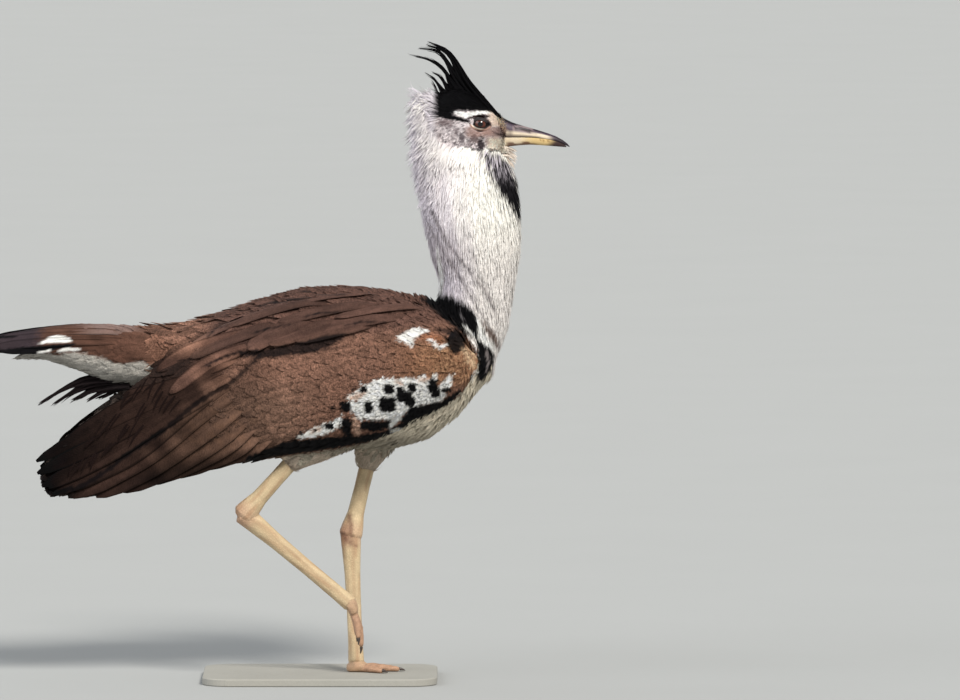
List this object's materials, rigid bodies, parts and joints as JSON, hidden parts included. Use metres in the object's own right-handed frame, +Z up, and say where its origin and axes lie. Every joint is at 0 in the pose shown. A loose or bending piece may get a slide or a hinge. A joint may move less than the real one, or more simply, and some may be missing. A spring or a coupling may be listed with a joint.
{
  "type": "kori bustard",
  "caption": "Life-size kori bustard in a walking pose on one foot, neck feathers puffed out, crest raised, on a plain flat base.",
  "frame": {"origin": "on the underside of the base, straight below the root of the standing left foot's toes", "axes": "+X the way the bird faces, +Y its left side, +Z up"},
  "size_m": [0.972, 0.298, 1.0215],
  "materials": {
    "plumage_brown": "matt feathers, brown and finely barred",
    "plumage_dark": "matt flight feathers, dark brown",
    "plumage_white": "matt loose feathers, white and grey",
    "plumage_grey": "matt short feathers, grey-white",
    "plumage_black": "matt black plumes",
    "leg_skin": "scaled straw-coloured skin",
    "bill_dark": "satin horn",
    "bill_pale": "satin horn",
    "claw": "satin horn",
    "eye": "wet, glossy",
    "stand": "matt paint"
  },
  "bodies": {
    "root": {"bill_lower": "bill_pale", "bill_upper": "bill_dark", "claw_left_inner": "claw", "claw_left_middle": "claw", "claw_left_outer": "claw", "claw_right_inner": "claw", "claw_right_middle": "claw", "claw_right_outer": "claw", "crest": "plumage_black", "eye_left": "eye", "eye_right": "eye", "foot_left": "leg_skin", "foot_right": "leg_skin", "head": "plumage_white", "neck": "plumage_white", "shank_left": "leg_skin", "shank_right": "leg_skin", "stand_base": "stand", "tail": "plumage_brown", "tarsus_left": "leg_skin", "tarsus_right": "leg_skin", "thigh_left": "plumage_grey", "thigh_right": "plumage_grey", "toe_left_inner": "leg_skin", "toe_left_middle": "leg_skin", "toe_left_outer": "leg_skin", "toe_right_inner": "leg_skin", "toe_right_middle": "leg_skin", "toe_right_outer": "leg_skin", "trunk": "plumage_brown", "vent_plume": "plumage_black", "wing_left_arm": "plumage_brown", "wing_left_flight": "plumage_dark", "wing_right_arm": "plumage_brown", "wing_right_flight": "plumage_dark"}
  },
  "joints": []
}
